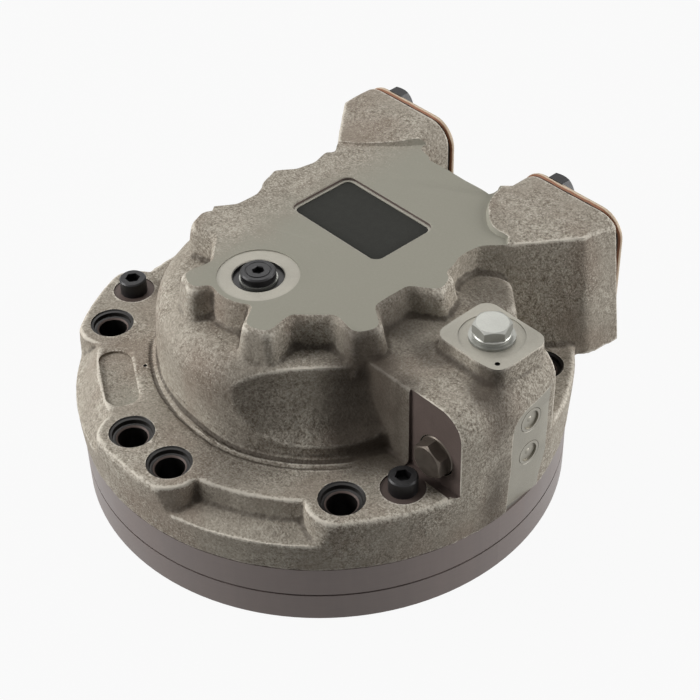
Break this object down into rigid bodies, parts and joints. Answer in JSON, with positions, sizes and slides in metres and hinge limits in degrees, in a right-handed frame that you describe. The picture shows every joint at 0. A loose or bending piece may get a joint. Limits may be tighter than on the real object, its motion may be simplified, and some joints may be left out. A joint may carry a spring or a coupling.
{
  "type": "hydraulic drive motor",
  "caption": "Radial-piston hydraulic drive motor: cast valve cover with port arms and lobed crown on a steel cam ring, with cylinder block, pistons and rollers inside.",
  "frame": {"origin": "on the motor's axis, in the plane of the cam ring's open mounting face", "axes": "+Z along the axis from the mounting face towards the lobed crown, +Y towards the ports"},
  "size_m": [0.2951, 0.296, 0.1536],
  "materials": {
    "cast_iron": "as cast, grainy, with milled faces",
    "ring_steel": "turned, dull",
    "seal_rubber": "smooth",
    "seal_polymer": "smooth",
    "window_plate": "satin",
    "block_iron": "machined",
    "distributor_iron": "machined",
    "spring_steel": "plain",
    "spool_steel": "ground",
    "zinc_plug": "bright zinc",
    "dark_plug": "dull",
    "washer_metal": "plain",
    "black_steel": "black oxide",
    "cover_plate": "satin",
    "gasket": "smooth",
    "piston_steel": "ground",
    "bearing_shell": "smooth",
    "roller_steel": "ground"
  },
  "bodies": {
    "housing": {"assembly_screws": "black_steel", "blank_plate": "window_plate", "cam_ring": "ring_steel", "case_seal": "seal_rubber", "cover_seal": "seal_rubber", "distributor": "distributor_iron", "distributor_seals": "seal_polymer", "distributor_spring": "spring_steel", "dowel_pins": "spool_steel", "drain_plug": "black_steel", "drain_plug_seal": "washer_metal", "expander_plugs": "spool_steel", "port_cover_bolts": "black_steel", "port_cover_left": "cover_plate", "port_cover_right": "cover_plate", "port_gaskets": "gasket", "selector_plug": "zinc_plug", "selector_plug_seal": "washer_metal", "selector_spring": "spring_steel", "side_plug": "dark_plug", "side_plug_seal": "washer_metal", "valve_cover": "cast_iron"},
    "rotor": {"cylinder_block": "block_iron"},
    "spool": {"selector_spool": "spool_steel"},
    "piston_1": {"piston_1": "piston_steel", "piston_ring_1": "seal_polymer", "roller_shell_1": "bearing_shell"},
    "roller_1": {"roller_1": "roller_steel"},
    "piston_2": {"piston_2": "piston_steel", "piston_ring_2": "seal_polymer", "roller_shell_2": "bearing_shell"},
    "roller_2": {"roller_2": "roller_steel"},
    "piston_3": {"piston_3": "piston_steel", "piston_ring_3": "seal_polymer", "roller_shell_3": "bearing_shell"},
    "roller_3": {"roller_3": "roller_steel"},
    "piston_4": {"piston_4": "piston_steel", "piston_ring_4": "seal_polymer", "roller_shell_4": "bearing_shell"},
    "roller_4": {"roller_4": "roller_steel"},
    "piston_5": {"piston_5": "piston_steel", "piston_ring_5": "seal_polymer", "roller_shell_5": "bearing_shell"},
    "roller_5": {"roller_5": "roller_steel"},
    "piston_6": {"piston_6": "piston_steel", "piston_ring_6": "seal_polymer", "roller_shell_6": "bearing_shell"},
    "roller_6": {"roller_6": "roller_steel"},
    "piston_7": {"piston_7": "piston_steel", "piston_ring_7": "seal_polymer", "roller_shell_7": "bearing_shell"},
    "roller_7": {"roller_7": "roller_steel"},
    "piston_8": {"piston_8": "piston_steel", "piston_ring_8": "seal_polymer", "roller_shell_8": "bearing_shell"},
    "roller_8": {"roller_8": "roller_steel"}
  },
  "joints": [
    {"name": "rotor_spin", "type": "hinge", "parent": "housing", "child": "rotor", "pos_m": [0, 0, 0], "axis": [0, 0, 1], "continuous": true},
    {"name": "piston_1_slide", "type": "slide", "parent": "rotor", "child": "piston_1", "axis": [0.9914, 0.1305, 0], "range_m": [0, 0.0135]},
    {"name": "roller_1_spin", "type": "hinge", "parent": "piston_1", "child": "roller_1", "pos_m": [0.0813, 0.0107, 0.028], "axis": [0, 0, 1], "continuous": true},
    {"name": "piston_2_slide", "type": "slide", "parent": "rotor", "child": "piston_2", "axis": [0.6088, 0.7934, 0], "range_m": [0, 0.0135]},
    {"name": "roller_2_spin", "type": "hinge", "parent": "piston_2", "child": "roller_2", "pos_m": [0.04992, 0.06505, 0.028], "axis": [0, 0, 1], "continuous": true},
    {"name": "piston_3_slide", "type": "slide", "parent": "rotor", "child": "piston_3", "axis": [-0.1305, 0.9914, 0], "range_m": [0, 0.0023]},
    {"name": "roller_3_spin", "type": "hinge", "parent": "piston_3", "child": "roller_3", "pos_m": [-0.0107, 0.0813, 0.028], "axis": [0, 0, 1], "continuous": true},
    {"name": "piston_4_slide", "type": "slide", "parent": "rotor", "child": "piston_4", "axis": [-0.7934, 0.6088, 0], "range_m": [0, 0.0023]},
    {"name": "roller_4_spin", "type": "hinge", "parent": "piston_4", "child": "roller_4", "pos_m": [-0.06505, 0.04992, 0.028], "axis": [0, 0, 1], "continuous": true},
    {"name": "piston_5_slide", "type": "slide", "parent": "rotor", "child": "piston_5", "axis": [-0.9914, -0.1305, 0], "range_m": [0, 0.0135]},
    {"name": "roller_5_spin", "type": "hinge", "parent": "piston_5", "child": "roller_5", "pos_m": [-0.0813, -0.0107, 0.028], "axis": [0, 0, 1], "continuous": true},
    {"name": "piston_6_slide", "type": "slide", "parent": "rotor", "child": "piston_6", "axis": [-0.6088, -0.7934, 0], "range_m": [0, 0.0135]},
    {"name": "roller_6_spin", "type": "hinge", "parent": "piston_6", "child": "roller_6", "pos_m": [-0.04992, -0.06505, 0.028], "axis": [0, 0, 1], "continuous": true},
    {"name": "piston_7_slide", "type": "slide", "parent": "rotor", "child": "piston_7", "axis": [0.1305, -0.9914, 0], "range_m": [0, 0.0023]},
    {"name": "roller_7_spin", "type": "hinge", "parent": "piston_7", "child": "roller_7", "pos_m": [0.0107, -0.0813, 0.028], "axis": [0, 0, 1], "continuous": true},
    {"name": "piston_8_slide", "type": "slide", "parent": "rotor", "child": "piston_8", "axis": [0.7934, -0.6088, 0], "range_m": [0, 0.0023]},
    {"name": "roller_8_spin", "type": "hinge", "parent": "piston_8", "child": "roller_8", "pos_m": [0.06505, -0.04992, 0.028], "axis": [0, 0, 1], "continuous": true},
    {"name": "selector_slide", "type": "slide", "parent": "housing", "child": "spool", "axis": [0, 0, -1], "range_m": [0, 0.006], "stiffness_N_per_m": 2000, "springref_m": -0.004, "deforming": ["selector_spring"]}
  ]
}
